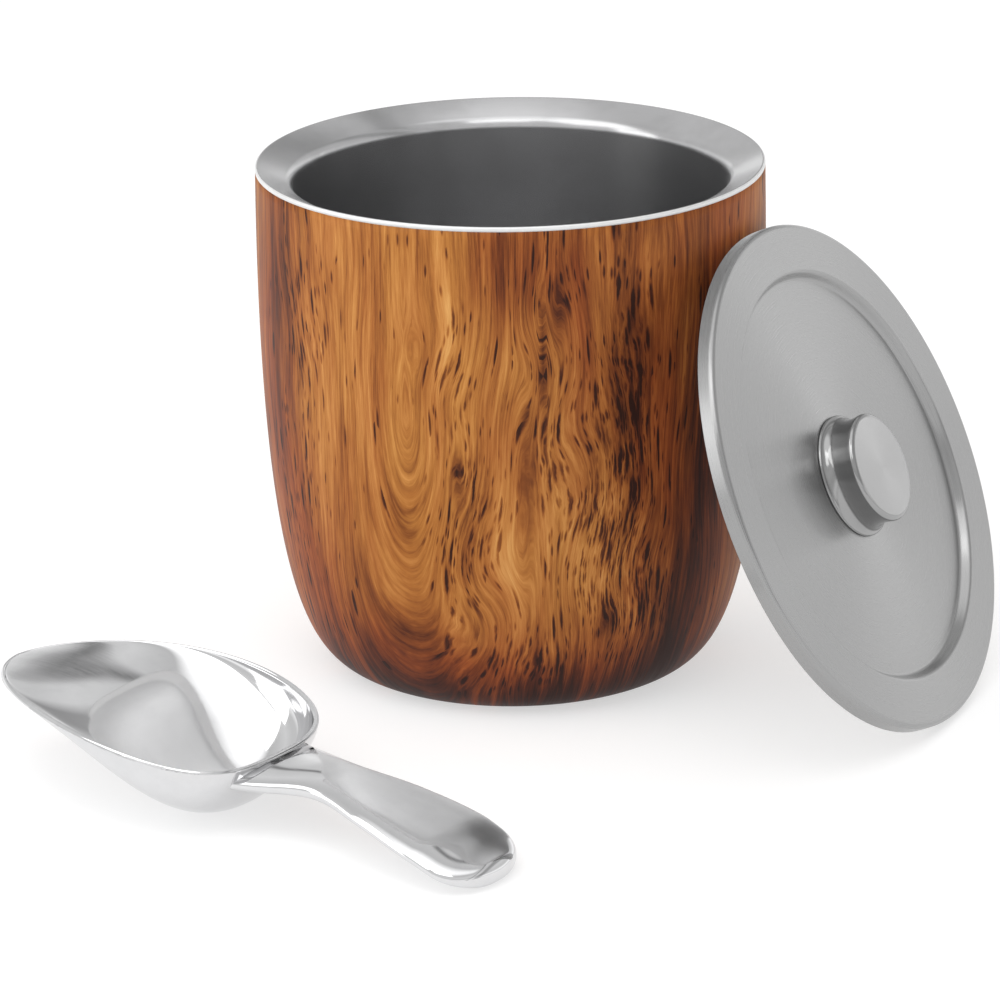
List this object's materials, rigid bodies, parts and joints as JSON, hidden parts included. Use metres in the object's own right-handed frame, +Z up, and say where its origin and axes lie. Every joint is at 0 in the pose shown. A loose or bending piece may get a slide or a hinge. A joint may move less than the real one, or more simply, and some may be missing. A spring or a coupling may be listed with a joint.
{
  "type": "ice bucket",
  "caption": "Double-walled round ice bucket with a wood-grain print, a sloping steel rim, a knobbed lift-off lid leaning against it and a polished serving scoop beside it.",
  "frame": {"origin": "centre of the underside of the bucket's foot pad, on the table", "axes": "+Z up along the bucket's own axis; +X towards the leaning lid's side; -Y towards the scoop's handle"},
  "size_m": [0.3108, 0.2784, 0.1632],
  "materials": {
    "shell_print": "steel with a printed wood grain under satin lacquer",
    "liner_steel": "satin stainless steel",
    "copper_foil": "bright copper foil",
    "plain_steel": "plain stainless sheet",
    "getter_alloy": "sintered metal pellet",
    "solder_glass": "fused solder glass",
    "foot_rubber": "moulded silicone rubber",
    "lid_steel": "fine circular brushing",
    "lid_foam": "light insulating foam",
    "lid_base_steel": "satin stainless steel",
    "seal_silicone": "frosted silicone",
    "knob_steel": "polished side and brushed top",
    "fixing_steel": "zinc plated",
    "scoop_steel": "mirror-polished stainless steel"
  },
  "bodies": {
    "bucket": {"outer_shell": "shell_print", "inner_liner": "liner_steel", "copper_foil": "copper_foil", "base_plate": "plain_steel", "getter": "getter_alloy", "getter_clip": "plain_steel", "vacuum_seal": "solder_glass", "bottom_cover": "plain_steel", "foot_pad": "foot_rubber"},
    "lid": {"lid_cover": "lid_steel", "lid_foam": "lid_foam", "lid_base": "lid_base_steel", "lid_seal": "seal_silicone", "knob": "knob_steel", "knob_washer": "fixing_steel", "knob_screw": "fixing_steel"},
    "scoop": {"scoop_bowl": "scoop_steel", "scoop_handle": "scoop_steel"}
  },
  "joints": [
    {"name": "lid_lift", "type": "slide", "parent": "bucket", "child": "lid", "axis": [0, 0, 1], "range_m": [0, 0.17]},
    {"name": "scoop_lift", "type": "slide", "parent": "bucket", "child": "scoop", "axis": [0, 0, 1], "range_m": [0, 0.17]}
  ]
}
